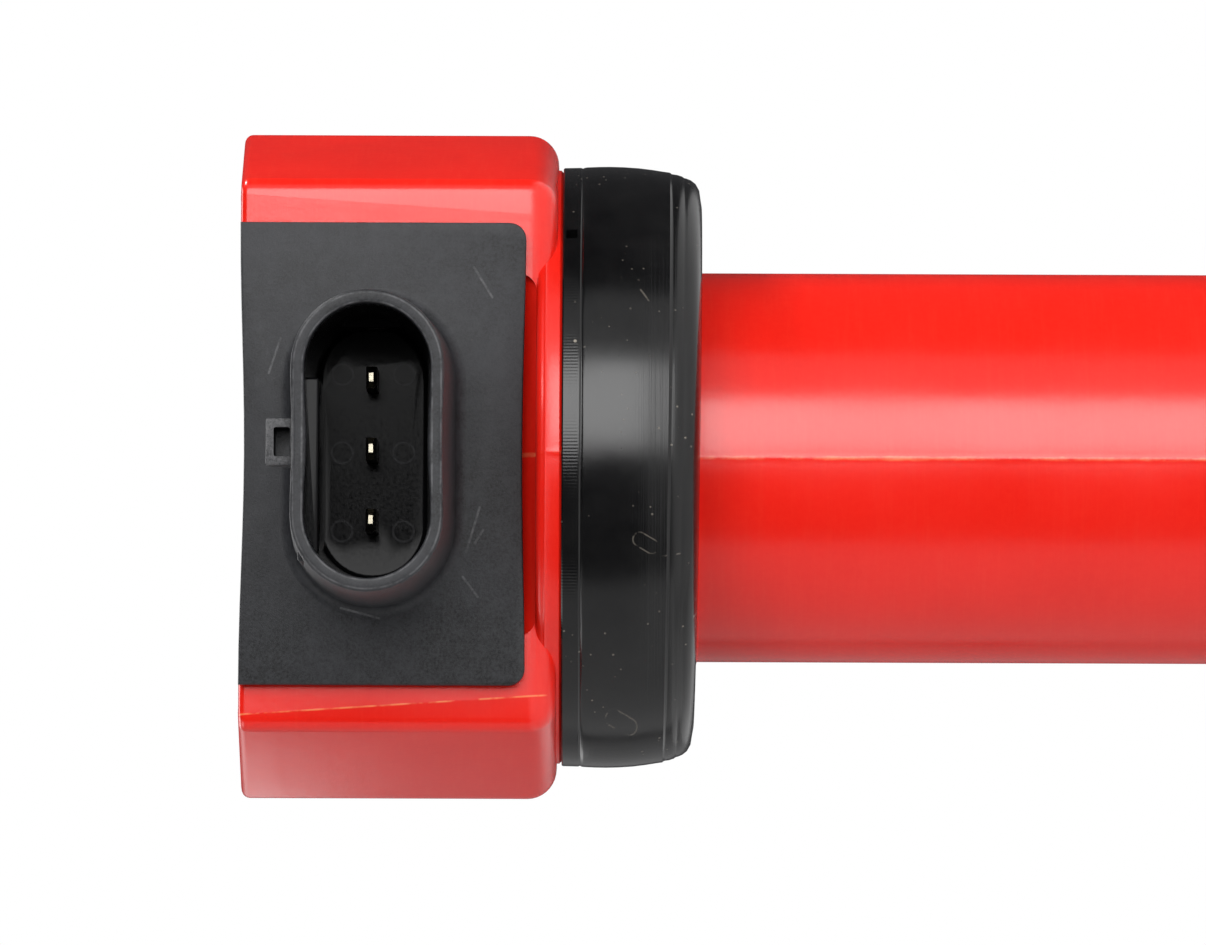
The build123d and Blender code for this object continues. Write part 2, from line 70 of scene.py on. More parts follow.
# ------------------------------------------------------------------ sizes from the frame
case_low, case_high = node_box("coil_case")
connector_low, connector_high = node_box("connector_body")
seal_high = node_box("well_seal")[1]
boot_low, boot_high = node_box("plug_boot")
spring_low, spring_high = node_box("contact_spring")
cap_low, cap_high = node_box("contact_cap")
potting_high = node_box("potting_compound")[1]
blade_low = node_box("terminal_ground")[0]
mounts = {mount["name"]: mount for mount in frame["record"]["mounts"]}
travel = {joint["name"]: joint["range_m"][1] / MM for joint in frame["joints"]}

head_top, flange_bottom = case_high[2], seal_high[2]
head_bottom = flange_bottom + 0.3
head_half_width = case_high[0]
crease_half_width, crease_depth = 16.5, 14.5
face_depth = 14.6
face_half_width_top, face_half_width_bottom = 15.7, 14.4
tube_radius = mounts["well_tube"]["dims"]["r_mm"]
tube_bottom = boot_high[2] + 0.5
nozzle_bottom = case_low[2]
seal_radius = round(seal_high[0], 2)
flange_radius, flange_height = -case_low[1], 1.55
plate_half_width, plate_bottom, plate_top = connector_high[0], connector_low[2], connector_high[2]
plate_face = face_depth + 1.0
rim_depth = -connector_low[1]
socket_z = 19.6
socket_floor = 16.2
socket_reach, mouth_radius = 4.35, 3.7
pin_mark_places = [(x, socket_z + z) for x in (-4.7, 0.0, 4.7) for z in (-1.84, 1.84)]
barb_bottom, barb_front = socket_z + 4.2, 28.2
serration_low = flange_bottom - 1.0
wall = 1.8


# ------------------------------------------------------------------ mesh helpers
def mesh_object(name, points, faces, sharp_angle=35):
    """An object from points in millimetres, shaded smooth with sharp edges kept by angle."""
    mesh = bpy.data.meshes.new(name)
    mesh.from_pydata([tuple(c * MM for c in p) for p in points], [], faces)
    mesh.validate()
    obj = bpy.data.objects.new(name, mesh)
    bpy.context.scene.collection.objects.link(obj)
    tidy(obj, sharp_angle)
    return obj


def tidy(obj, sharp_angle=35):
    """Outward normals, merged points, smooth shading with sharp edges by angle."""
    bm = bmesh.new()
    bm.from_mesh(obj.data)
    bmesh.ops.remove_doubles(bm, verts=bm.verts, dist=0.002 * MM)
    bmesh.ops.recalc_face_normals(bm, faces=bm.faces)
    bm.to_mesh(obj.data)
    bm.free()
    obj.data.shade_smooth()
    obj.data.set_sharp_from_angle(angle=radians(sharp_angle))


def apply_modifiers(obj):
    """Turns an object's modifiers into its mesh."""
    bpy.context.view_layer.update()
    evaluated = obj.evaluated_get(bpy.context.evaluated_depsgraph_get())
    mesh = bpy.data.meshes.new_from_object(evaluated)
    obj.modifiers.clear()
    obj.data = mesh


def combine(obj, others, operation, sharp_angle=35):
    """Unites or cuts obj with other objects, which are used up."""
    for other in others:
        modifier = obj.modifiers.new(operation, "BOOLEAN")
        modifier.operation = operation
        modifier.solver = "EXACT"
        modifier.object = other
        apply_modifiers(obj)
        bpy.data.objects.remove(other)
    tidy(obj, sharp_angle)
    return obj


def bevel(obj, width, segments=3):
    """Rounds an object's sharp edges by a width in millimetres."""
    modifier = obj.modifiers.new("edges", "BEVEL")
    modifier.width = width * MM
    modifier.segments = segments
    modifier.limit_method = "ANGLE"
    modifier.angle_limit = radians(35)
    apply_modifiers(obj)
    tidy(obj)
    return obj


def block(name, x_limits, y_limits, z_limits, edge=0.0):
    """A rectangular block given by its limits, with rounded edges."""
    points = [(x, y, z) for x in x_limits for y in y_limits for z in z_limits]
    faces = [(0, 1, 3, 2), (4, 6, 7, 5), (0, 4, 5, 1), (2, 3, 7, 6), (0, 2, 6, 4), (1, 5, 7, 3)]
    obj = mesh_object(name, points, faces)
    return bevel(obj, edge) if edge else obj


def rounded(corners, radii, steps=8):
    """A closed outline: each corner of a polygon becomes an arc of its own radius."""
    outline = []
    count = len(corners)
    for index, (corner, radius) in enumerate(zip(corners, radii)):
        here = Vector(corner)
        to_last = (Vector(corners[index - 1]) - here).normalized()
        to_next = (Vector(corners[(index + 1) % count]) - here).normalized()
        half = to_last.angle(to_next) / 2
        if radius <= 0 or half > radians(89.9):
            outline.append(tuple(here))
            continue
        centre = here + (to_last + to_next).normalized() * (radius / sin(half))
        start = here + to_last * (radius * cos(half) / sin(half)) - centre
        end = here + to_next * (radius * cos(half) / sin(half)) - centre
        sweep = atan2(start.x * end.y - start.y * end.x, start.dot(end))
        for step in range(steps + 1):
            turn = Matrix.Rotation(sweep * step / steps, 2)
            outline.append(tuple(centre + turn @ start))
    return outline


def inset_polygon(corners, inset):
    """A convex anticlockwise polygon with every side moved inwards."""
    moved = []
    count = len(corners)
    for index in range(count):
        a, b, c = (Vector(corners[(index + k) % count]) for k in (-1, 0, 1))
        first, second = (b - a).normalized(), (c - b).normalized()
        normals = [Vector((-d.y, d.x)) for d in (first, second)]
        bisector = (normals[0] + normals[1]).normalized()
        moved.append(tuple(b + bisector * inset / bisector.dot(normals[0])))
    return moved


def loft(name, loops, capped=True, sharp_angle=35):
    """A skin over closed loops that have the same number of points."""
    count = len(loops[0])
    points = [p for loop in loops for p in loop]
    faces = []
    for level in range(len(loops) - 1):
        for index in range(count):
            a, b = level * count + index, level * count + (index + 1) % count
            faces.append((a, b, b + count, a + count))
    if capped:
        faces.append(tuple(range(count))[::-1])
        faces.append(tuple(range(len(points) - count, len(points))))
    return mesh_object(name, points, faces, sharp_angle)


def ring_angles(steps, seams=()):
    """Angles round a ring, evenly spaced, with extra ones each side of a few seams."""
    angles = {round(360 * step / steps, 4) for step in range(steps)}
    offsets = (-1.6, -0.9, -0.55, -0.3, 0.0, 0.3, 0.55, 0.9, 1.6)
    for seam in seams:
        angles |= {(seam + offset) % 360 for offset in offsets}
    return sorted(radians(angle) for angle in angles)


def revolve(name, profile, steps=192, seams=(), shape=None, sharp_angle=35):
    """A closed profile of (radius, z) turned about the axis. shape(r, angle, z) may move points."""
    angles = ring_angles(steps, seams)
    loops = []
    for radius, z in profile:
        loop = []
        for angle in angles:
            r, level = shape(radius, angle, z) if shape else (radius, z)
            loop.append((r * cos(angle), r * sin(angle), level))
        loops.append(loop)
    touches_axis = min(profile[0][0], profile[-1][0]) <= 1e-6
    if not touches_axis:
        loops.append(loops[0])
    return loft(name, loops, False, sharp_angle)


def profile_arc(centre, radius, start, end, steps=6):
    """Points on an arc of a profile, angles in degrees."""
    arc = []
    for step in range(steps + 1):
        angle = radians(start + (end - start) * step / steps)
        arc.append((centre[0] + radius * cos(angle), centre[1] + radius * sin(angle)))
    return arc


# ------------------------------------------------------------------ materials
def material(name, base, roughness, specular=0.5, metallic=0.0, coat=0.0, sheen=0.0):
    """A principled material, with its node tree and its shader."""
    mat = bpy.data.materials.new(name)
    mat.use_nodes = True
    tree = mat.node_tree
    shader = tree.nodes["Principled BSDF"]
    shader.inputs["Base Color"].default_value = (*base, 1)
    shader.inputs["Roughness"].default_value = roughness
    shader.inputs["Specular IOR Level"].default_value = specular
    shader.inputs["Metallic"].default_value = metallic
    shader.inputs["Coat Weight"].default_value = coat
    shader.inputs["Coat Roughness"].default_value = 0.25
    shader.inputs["Sheen Weight"].default_value = sheen
    return mat, tree, shader


def place(tree, scale=(1, 1, 1)):
    """Object coordinates in millimetres, stretched by scale."""
    coords = tree.nodes.new("ShaderNodeTexCoord")
    mapping = tree.nodes.new("ShaderNodeMapping")
    mapping.inputs["Scale"].default_value = [s / MM for s in scale]
    tree.links.new(coords.outputs["Object"], mapping.inputs["Vector"])
    return mapping.outputs["Vector"]


def noise_node(tree, vector, scale, detail=3.0, roughness=0.55):
    """Noise of a number of features per millimetre."""
    node = tree.nodes.new("ShaderNodeTexNoise")
    node.inputs["Scale"].default_value = scale
    node.inputs["Detail"].default_value = detail
    node.inputs["Roughness"].default_value = roughness
    tree.links.new(vector, node.inputs["Vector"])
    return node.outputs["Fac"]


def voronoi_node(tree, vector, scale):
    """Distance to scattered points, for specks."""
    node = tree.nodes.new("ShaderNodeTexVoronoi")
    node.inputs["Scale"].default_value = scale
    tree.links.new(vector, node.inputs["Vector"])
    return node.outputs["Distance"]


def remap(tree, value, low, high, to_low=0.0, to_high=1.0):
    """A value's span stretched to another, clamped."""
    node = tree.nodes.new("ShaderNodeMapRange")
    node.inputs["From Min"].default_value = low
    node.inputs["From Max"].default_value = high
    node.inputs["To Min"].default_value = to_low
    node.inputs["To Max"].default_value = to_high
    tree.links.new(value, node.inputs["Value"])
    return node.outputs["Result"]


def calculate(tree, operation, first, second=0.5, third=0.5):
    """A math node on sockets or numbers."""
    node = tree.nodes.new("ShaderNodeMath")
    node.operation = operation
    for socket, value in zip(node.inputs, (first, second, third)):
        if isinstance(value, (int, float)):
            socket.default_value = value
        else:
            tree.links.new(value, socket)
    return node.outputs["Value"]


def blend_colours(tree, factor, first, second):
    """A mix of two colours, each a colour or a socket."""
    node = tree.nodes.new("ShaderNodeMix")
    node.data_type = "RGBA"
    tree.links.new(factor, node.inputs["Factor"])
    for socket, value in ((node.inputs[6], first), (node.inputs[7], second)):
        if isinstance(value, tuple):
            socket.default_value = (*value, 1)
        else:
            tree.links.new(value, socket)
    return node.outputs[2]


def add_bump(tree, shader, height, strength, distance):
    """Bump from a height socket, distance in millimetres, on top of any earlier bump."""
    node = tree.nodes.new("ShaderNodeBump")
    node.inputs["Strength"].default_value = strength
    node.inputs["Distance"].default_value = distance * MM
    tree.links.new(height, node.inputs["Height"])
    earlier = shader.inputs["Normal"].links
    if earlier:
        tree.links.new(earlier[0].from_socket, node.inputs["Normal"])
    tree.links.new(node.outputs["Normal"], shader.inputs["Normal"])


def axis_socket(tree, vector, axis):
    """One coordinate of a vector socket."""
    node = tree.nodes.new("ShaderNodeSeparateXYZ")
    tree.links.new(vector, node.inputs["Vector"])
    return node.outputs[axis]


def distance_to_line(tree, vector, start, end):
    """Distance in the XZ plane from a coordinate socket to a line between two points."""
    flat = tree.nodes.new("ShaderNodeVectorMath")
    flat.operation = "MULTIPLY_ADD"
    tree.links.new(vector, flat.inputs[0])
    flat.inputs[1].default_value = (1, 0, 1)
    flat.inputs[2].default_value = (-start[0], 0, -start[1])
    span = Vector((end[0] - start[0], 0, end[1] - start[1]))
    along = tree.nodes.new("ShaderNodeVectorMath")
    along.operation = "DOT_PRODUCT"
    tree.links.new(flat.outputs["Vector"], along.inputs[0])
    along.inputs[1].default_value = span / span.length_squared
    share = remap(tree, along.outputs["Value"], 0, 1, 0, 1)
    nearest = tree.nodes.new("ShaderNodeVectorMath")
    nearest.operation = "SCALE"
    nearest.inputs[0].default_value = span
    tree.links.new(share, nearest.inputs["Scale"])
    gap = tree.nodes.new("ShaderNodeVectorMath")
    gap.operation = "DISTANCE"
    tree.links.new(flat.outputs["Vector"], gap.inputs[0])
    tree.links.new(nearest.outputs["Vector"], gap.inputs[1])
    return gap.outputs["Value"]


def stroke(tree, vector, start, end, half_width):
    """A soft-edged mark between two points of the XZ plane."""
    away = distance_to_line(tree, vector, start, end)
    return remap(tree, away, half_width * 0.4, half_width, 1, 0)


def ring_line(tree, away, radius, sharp, half_width):
    """A thin line where a distance equals a radius, full strength up to a sharp half width."""
    gap = calculate(tree, "ABSOLUTE", calculate(tree, "SUBTRACT", away, radius))
    return remap(tree, gap, sharp, half_width, 1, 0)


def hair(tree, vector, centre, radius, half_width, span=(0.01, 0.01)):
    """A soft-edged ring, a hair or a scuff, about a point or a short span of the XZ plane."""
    away = distance_to_line(tree, vector, centre, (centre[0] + span[0], centre[1] + span[1]))
    return ring_line(tree, away, radius, half_width * 0.3, half_width)


def strongest(tree, *values):
    """The highest of several values."""
    result = values[0]
    for value in values[1:]:
        result = calculate(tree, "MAXIMUM", result, value)
    return result


def product(tree, *values):
    """Several values multiplied together."""
    result = values[0]
    for value in values[1:]:
        result = calculate(tree, "MULTIPLY", result, value)
    return result


def red_moulding():
    """Bright red glass-filled plastic: satin, slightly cloudy, with pale flash lines whose paleness is partly the
    flash's own tone and partly a painted highlight.
    """
    mat, tree, shader = material("red_moulding", (0.84, 0.012, 0.005), 0.22, 0.62)
    spot = place(tree)
    cloud = noise_node(tree, spot, 0.12, 3)
    grain = noise_node(tree, spot, 2.6, 4, 0.65)
    streaks = noise_node(tree, place(tree, (0.2, 0.2, 3.0)), 1.0, 5, 0.7)
    colour = blend_colours(tree, cloud, (0.78, 0.010, 0.004), (0.88, 0.014, 0.006))
    colour = blend_colours(tree, remap(tree, grain, 0.35, 0.75, 0, 0.2), colour, (0.92, 0.032, 0.014))
    colour = blend_colours(tree, remap(tree, streaks, 0.5, 0.75, 0, 0.2), colour, (0.90, 0.045, 0.022))
    # Parting line at the front and back of the tube and the flange, painted pale: partly the flash's own tone,
    # partly a painted highlight where the raised line catches the light
    x_away = calculate(tree, "ABSOLUTE", axis_socket(tree, spot, "X"))
    wander = calculate(tree, "MULTIPLY_ADD", noise_node(tree, spot, 0.8, 3), 0.22, -0.11)
    seam = remap(tree, calculate(tree, "ADD", x_away, wander), 0.05, 0.16, 1, 0)
    patchy = remap(tree, noise_node(tree, spot, 0.35, 4, 0.7), 0.38, 0.64, 0.0, 0.55)
    colour = blend_colours(tree, product(tree, seam, patchy), colour, (0.96, 0.30, 0.13))
    # Witness line along the slanted edge of the flat front face, painted pale: partly the line's own tone, partly
    # a painted highlight along the edge, fading in and out
    upper_end, lower_end = (-face_half_width_top, head_top), (-face_half_width_bottom, head_bottom)
    edge = stroke(tree, spot, upper_end, lower_end, 0.07)
    front = remap(tree, axis_socket(tree, spot, "Y"), -face_depth + 0.6, -face_depth + 0.3)
    fading_line = remap(tree, noise_node(tree, spot, 0.5, 3, 0.7), 0.42, 0.56, 0.0, 0.8)
    witness = product(tree, edge, front, fading_line)
    colour = blend_colours(tree, witness, colour, (0.95, 0.26, 0.09))
    tree.links.new(colour, shader.inputs["Base Color"])
    tree.links.new(remap(tree, cloud, 0.3, 0.7, 0.20, 0.27), shader.inputs["Roughness"])
    add_bump(tree, shader, noise_node(tree, spot, 0.9, 4, 0.7), 0.45, 0.03)
    add_bump(tree, shader, grain, 0.10, 0.02)
    add_bump(tree, shader, streaks, 0.18, 0.018)
    return mat


def black_moulding():
    """Matt black connector plastic: eroded fine texture, scratches and pale dust specks, with painted highlights
    on the rim's edges and the barb's face and painted shade inside the socket.
    """
    mat, tree, shader = material("black_moulding", (0.02, 0.021, 0.023), 0.55, 0.4)
    spot = place(tree)
    depth = axis_socket(tree, spot, "Y")
    grain = noise_node(tree, spot, 5.0, 5, 0.8)
    patches = noise_node(tree, spot, 0.16, 3)
    pits = remap(tree, grain, 0.40, 0.60)
    colour = blend_colours(tree, pits, (0.0025, 0.0026, 0.003), (0.028, 0.029, 0.032))
    mottle = remap(tree, noise_node(tree, spot, 1.1, 5, 0.8), 0.44, 0.66, 0, 0.7)
    colour = blend_colours(tree, mottle, colour, (0.034, 0.035, 0.039))
    colour = blend_colours(tree, remap(tree, patches, 0.40, 0.66, 0, 0.5), colour, (0.030, 0.031, 0.036))
    specks = remap(tree, voronoi_node(tree, spot, 0.42), 0.03, 0.045, 1, 0)
    few = remap(tree, noise_node(tree, spot, 0.3, 2), 0.50, 0.54)
    colour = blend_colours(tree, product(tree, specks, few), colour, (0.30, 0.24, 0.17))
    # Scratches on the plate
    scratch_ends = (
        ((-3.2, 13.2), (-5.9, 14.0)),
        ((-4.6, 13.0), (-5.4, 13.5)),
        ((-7.4, 14.2), (-8.6, 13.3)),
        ((4.8, 25.9), (6.9, 25.2)),
        ((-9.3, 21.5), (-9.9, 19.2)),
        ((9.4, 12.5), (11.2, 13.6)),
    )
    marks = [stroke(tree, spot, start, end, 0.09) for start, end in scratch_ends]
    worn = remap(tree, noise_node(tree, spot, 1.3, 4, 0.8), 0.38, 0.62, 0.1, 0.55)
    outside = remap(tree, depth, -plate_face - 0.6, -plate_face - 0.2)
    scratches = product(tree, strongest(tree, *marks), worn, outside)
    colour = blend_colours(tree, scratches, colour, (0.16, 0.16, 0.165))
    # Painted highlights: pale lines along the edges of the shroud's rim, and a paler, grainy painted highlight on
    # the barb's front face
    # Painted highlight: the rim's edges are lightened in two thin, patchy lines
    away = distance_to_line(tree, spot, (-socket_reach, socket_z), (socket_reach, socket_z))
    edge_radii = (mouth_radius + 0.10, mouth_radius + 0.62)
    rim_lines = [ring_line(tree, away, radius, 0.02, 0.08) for radius in edge_radii]
    rim_only = remap(tree, depth, -rim_depth + 0.5, -rim_depth + 0.3)
    patchy = remap(tree, noise_node(tree, spot, 1.1, 4, 0.7), 0.36, 0.60, 0.1, 0.8)
    rim_edge_highlight = product(tree, strongest(tree, *rim_lines), rim_only, patchy)
    colour = blend_colours(tree, rim_edge_highlight, colour, (0.12, 0.12, 0.125))
    # Painted highlight: the barb's front face is lightened and broken up by the grain
    barb_middle = barb_bottom + 1.3
    barb_area = stroke(tree, spot, (-1.0, barb_middle), (1.0, barb_middle), 1.3)
    barb_front_only = remap(tree, depth, -barb_front + 0.10, -barb_front + 0.04)
    barb_grain = remap(tree, grain, 0.40, 0.60, 0.15, 0.9)
    barb_highlight = product(tree, barb_area, barb_front_only, barb_grain)
    colour = blend_colours(tree, barb_highlight, colour, (0.13, 0.13, 0.135))
    # The socket's inside is glossier, with its colour darkened as painted shade and its specular level lowered
    inside = remap(tree, away, mouth_radius - 0.06, mouth_radius + 0.02, 1, 0)
    inside = product(tree, inside, remap(tree, depth, -rim_depth + 0.25, -rim_depth + 0.5))
    colour = blend_colours(tree, inside, colour, (0.0035, 0.0035, 0.004))
    pin_marks = [hair(tree, spot, centre, 0.62, 0.1) for centre in pin_mark_places]
    at_floor = remap(tree, depth, -socket_floor - 0.2, -socket_floor - 0.1)
    pin_marks = product(tree, strongest(tree, *pin_marks), at_floor)
    colour = blend_colours(tree, pin_marks, colour, (0.03, 0.03, 0.032))
    tree.links.new(colour, shader.inputs["Base Color"])
    spread = remap(tree, grain, 0.3, 0.7, 0.42, 0.62)
    smoother = calculate(tree, "MULTIPLY_ADD", inside, -0.36, spread)
    tree.links.new(smoother, shader.inputs["Roughness"])
    tree.links.new(calculate(tree, "MULTIPLY_ADD", inside, -0.28, 0.4), shader.inputs["Specular IOR Level"])
    outer_grain = product(tree, grain, calculate(tree, "SUBTRACT", 1.0, inside))
    add_bump(tree, shader, outer_grain, 0.6, 0.03)
    return mat


def seal_rubber():
    """Moulded black rubber: turned mould marks round it, dust specks and a few hairs."""
    mat, tree, shader = material("seal_rubber", (0.008, 0.008, 0.009), 0.18, 0.5)
    spot = place(tree)
    rings = noise_node(tree, place(tree, (0.03, 0.03, 5.0)), 1.0, 5, 0.75)
    cloud = noise_node(tree, spot, 0.25, 4, 0.6)
    bloom = remap(tree, cloud, 0.35, 0.7)
    colour = blend_colours(tree, bloom, (0.0022, 0.0022, 0.0025), (0.0065, 0.0064, 0.0065))
    specks = remap(tree, voronoi_node(tree, spot, 0.55), 0.045, 0.065, 1, 0)
    few = remap(tree, noise_node(tree, spot, 0.45, 2), 0.50, 0.55)
    fine = remap(tree, voronoi_node(tree, spot, 1.4), 0.07, 0.12, 0.5, 0)
    drift = remap(tree, noise_node(tree, spot, 0.22, 3), 0.48, 0.60)
    dust = strongest(tree, product(tree, specks, few), product(tree, fine, drift))
    hairs = [
        hair(tree, spot, (-5.6, 2.9), 0.42, 0.06, (0.4, 0.7)),
        stroke(tree, spot, (-6.2, 2.3), (-6.0, 1.2), 0.07),
        hair(tree, spot, (-16.2, 4.2), 0.5, 0.07, (0.5, 0.9)),
        stroke(tree, spot, (-3.2, 5.2), (-3.7, 5.0), 0.08),
        stroke(tree, spot, (9.2, 3.1), (9.9, 3.6), 0.07),
    ]
    broken = remap(tree, noise_node(tree, spot, 0.9, 3, 0.7), 0.46, 0.56, 0, 0.28)
    dust = strongest(tree, dust, product(tree, strongest(tree, *hairs), broken))
    colour = blend_colours(tree, dust, colour, (0.26, 0.23, 0.19))
    tree.links.new(colour, shader.inputs["Base Color"])
    spread = remap(tree, cloud, 0.3, 0.7, 0.15, 0.22)
    tree.links.new(calculate(tree, "MULTIPLY_ADD", dust, 0.5, spread), shader.inputs["Roughness"])
    add_bump(tree, shader, rings, 0.35, 0.02)
    # Fine upright serrations on the band next to the case's flange
    height = axis_socket(tree, spot, "Z")
    turn = calculate(tree, "ARCTAN2", axis_socket(tree, spot, "X"), axis_socket(tree, spot, "Y"))
    pitch = 0.2
    wave = calculate(tree, "SINE", product(tree, turn, 2 * pi * flange_radius / pitch))
    band = remap(tree, height, serration_low, serration_low + 0.1)
    add_bump(tree, shader, product(tree, wave, band), 0.15, 0.012)
    return mat


def boot_silicone():
    """Dark silicone rubber: matt, faintly dusty, smooth moulded skin."""
    mat, tree, shader = material("boot_silicone", (0.028, 0.028, 0.030), 0.55, 0.4, sheen=0.08)
    spot = place(tree)
    cloud = noise_node(tree, spot, 0.18, 4, 0.6)
    dust = noise_node(tree, spot, 3.5, 4, 0.7)
    colour = blend_colours(tree, cloud, (0.020, 0.020, 0.021), (0.036, 0.036, 0.038))
    colour = blend_colours(tree, remap(tree, dust, 0.62, 0.8, 0, 0.5), colour, (0.10, 0.098, 0.092))
    tree.links.new(colour, shader.inputs["Base Color"])
    tree.links.new(remap(tree, cloud, 0.3, 0.7, 0.48, 0.62), shader.inputs["Roughness"])
    add_bump(tree, shader, dust, 0.15, 0.02)
    return mat


def plain_plastic(name, dark, light, roughness, bump, scale):
    """A moulded or cast surface with a fine, cloudy grain between two colours."""
    mat, tree, shader = material(name, dark, roughness)
    spot = place(tree)
    grain = noise_node(tree, spot, scale, 4, 0.6)
    tree.links.new(blend_colours(tree, grain, dark, light), shader.inputs["Base Color"])
    spread = remap(tree, grain, 0.3, 0.7, roughness - 0.06, roughness + 0.08)
    tree.links.new(spread, shader.inputs["Roughness"])
    add_bump(tree, shader, grain, bump, 0.03)
    return mat


def metal(name, dark, light, roughness, stretch, scale):
    """A metal with brushed or drawn streaks along the directions with a low stretch."""
    mat, tree, shader = material(name, light, roughness, metallic=1.0)
    streaks = noise_node(tree, place(tree, stretch), scale, 4, 0.65)
    colour = blend_colours(tree, remap(tree, streaks, 0.3, 0.7), dark, light)
    tree.links.new(colour, shader.inputs["Base Color"])
    spread = remap(tree, streaks, 0.3, 0.7, roughness - 0.07, roughness + 0.1)
    tree.links.new(spread, shader.inputs["Roughness"])
    add_bump(tree, shader, streaks, 0.1, 0.02)
    return mat


def tinned_blade():
    """Tin plating, drawn along the blade, painted dark as shade back from the tip and paler at the tip."""
    mat, tree, shader = material("tinned_blade", (0.9, 0.87, 0.8), 0.25, metallic=1.0)
    spot = place(tree)
    streaks = noise_node(tree, place(tree, (4, 0.4, 4)), 1.0, 4, 0.65)
    tip = remap(tree, axis_socket(tree, spot, "Y"), blade_low[1] + 0.07, blade_low[1] + 0.02)
    # Painted shade: the blade is darkened everywhere back from its tip
    shaded_tin = blend_colours(tree, streaks, (0.08, 0.075, 0.06), (0.18, 0.165, 0.13))
    tree.links.new(blend_colours(tree, tip, shaded_tin, (0.50, 0.46, 0.36)), shader.inputs["Base Color"])
    tree.links.new(remap(tree, streaks, 0.3, 0.7, 0.22, 0.38), shader.inputs["Roughness"])
    add_bump(tree, shader, streaks, 0.15, 0.02)
    return mat


def winding_wire(name, dark, light, pitch):
    """Enamelled wire wound side by side: one groove per turn."""
    mat, tree, shader = material(name, light, 0.3, metallic=1.0, coat=0.6)
    spot = place(tree)
    turn = calculate(tree, "MULTIPLY", axis_socket(tree, spot, "Z"), 2 * pi / pitch)
    crown = calculate(tree, "MULTIPLY_ADD", calculate(tree, "SINE", turn), 0.5, 0.5)
    tree.links.new(blend_colours(tree, crown, dark, light), shader.inputs["Base Color"])
    add_bump(tree, shader, crown, 0.6, pitch / 4)
    add_bump(tree, shader, noise_node(tree, spot, 2.0, 3), 0.1, 0.02)
    return mat


MATERIALS = {
    "red_moulding": red_moulding(),
    "black_moulding": black_moulding(),
    "seal_rubber": seal_rubber(),
    "boot_silicone": boot_silicone(),
    "tinned_blade": tinned_blade(),
    "resin": plain_plastic("resin", (0.012, 0.012, 0.013), (0.022, 0.021, 0.021), 0.14, 0.25, 0.6),
    "board": plain_plastic("board", (0.01, 0.10, 0.045), (0.02, 0.15, 0.06), 0.35, 0.1, 1.2),
    "chip_body": plain_plastic("chip_body", (0.015, 0.015, 0.016), (0.035, 0.035, 0.037), 0.5, 0.3, 6),
    "chip_ceramic": plain_plastic("chip_ceramic", (0.40, 0.30, 0.19), (0.52, 0.40, 0.27), 0.45, 0.15, 5),
    "spreader": metal("spreader", (0.60, 0.61, 0.63), (0.84, 0.85, 0.87), 0.33, (0.1, 2, 1), 2),
    "core_iron": metal("core_iron", (0.20, 0.20, 0.21), (0.42, 0.42, 0.44), 0.42, (0.3, 3, 0.05), 2),
    "magnet": metal("magnet", (0.42, 0.42, 0.43), (0.64, 0.64, 0.66), 0.3, (1, 1, 1), 3),
    "foam": plain_plastic("foam", (0.30, 0.30, 0.29), (0.48, 0.48, 0.46), 0.9, 0.8, 4),
    "bobbin": plain_plastic("bobbin", (0.62, 0.57, 0.44), (0.72, 0.67, 0.54), 0.5, 0.1, 1.5),
    "fine_wire": winding_wire("fine_wire", (0.30, 0.08, 0.02), (0.78, 0.30, 0.10), 0.16),
    "primary_wire": winding_wire("primary_wire", (0.35, 0.10, 0.02), (0.86, 0.38, 0.14), 0.6),
    "lead_wire": metal("lead_wire", (0.66, 0.60, 0.54), (0.90, 0.86, 0.80), 0.28, (1, 1, 0.1), 3),
    "sleeve_iron": metal("sleeve_iron", (0.15, 0.15, 0.17), (0.34, 0.34, 0.37), 0.4, (1, 1, 0.08), 2),
    "diode_body": plain_plastic("diode_body", (0.012, 0.012, 0.013), (0.03, 0.03, 0.032), 0.3, 0.1, 3),
    "brass": metal("brass", (0.62, 0.42, 0.14), (0.88, 0.66, 0.28), 0.25, (0.1, 0.1, 4), 2),
    "resistor": plain_plastic("resistor", (0.36, 0.24, 0.15), (0.47, 0.33, 0.22), 0.5, 0.3, 3),
    "spring_steel": metal("spring_steel", (0.48, 0.48, 0.49), (0.74, 0.74, 0.75), 0.26, (1, 1, 1), 4),
    "cap_steel": metal("cap_steel", (0.58, 0.57, 0.54), (0.84, 0.83, 0.80), 0.2, (0.2, 0.2, 3), 2),
}


def finish_piece(piece, slot, body, *replaced):
    """Gives a piece its material, the body it rides on and the CAD nodes it stands for."""
    piece.data.materials.clear()
    piece.data.materials.append(MATERIALS[slot])
    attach(piece, body)
    if replaced:
        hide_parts(*replaced)
    return piece


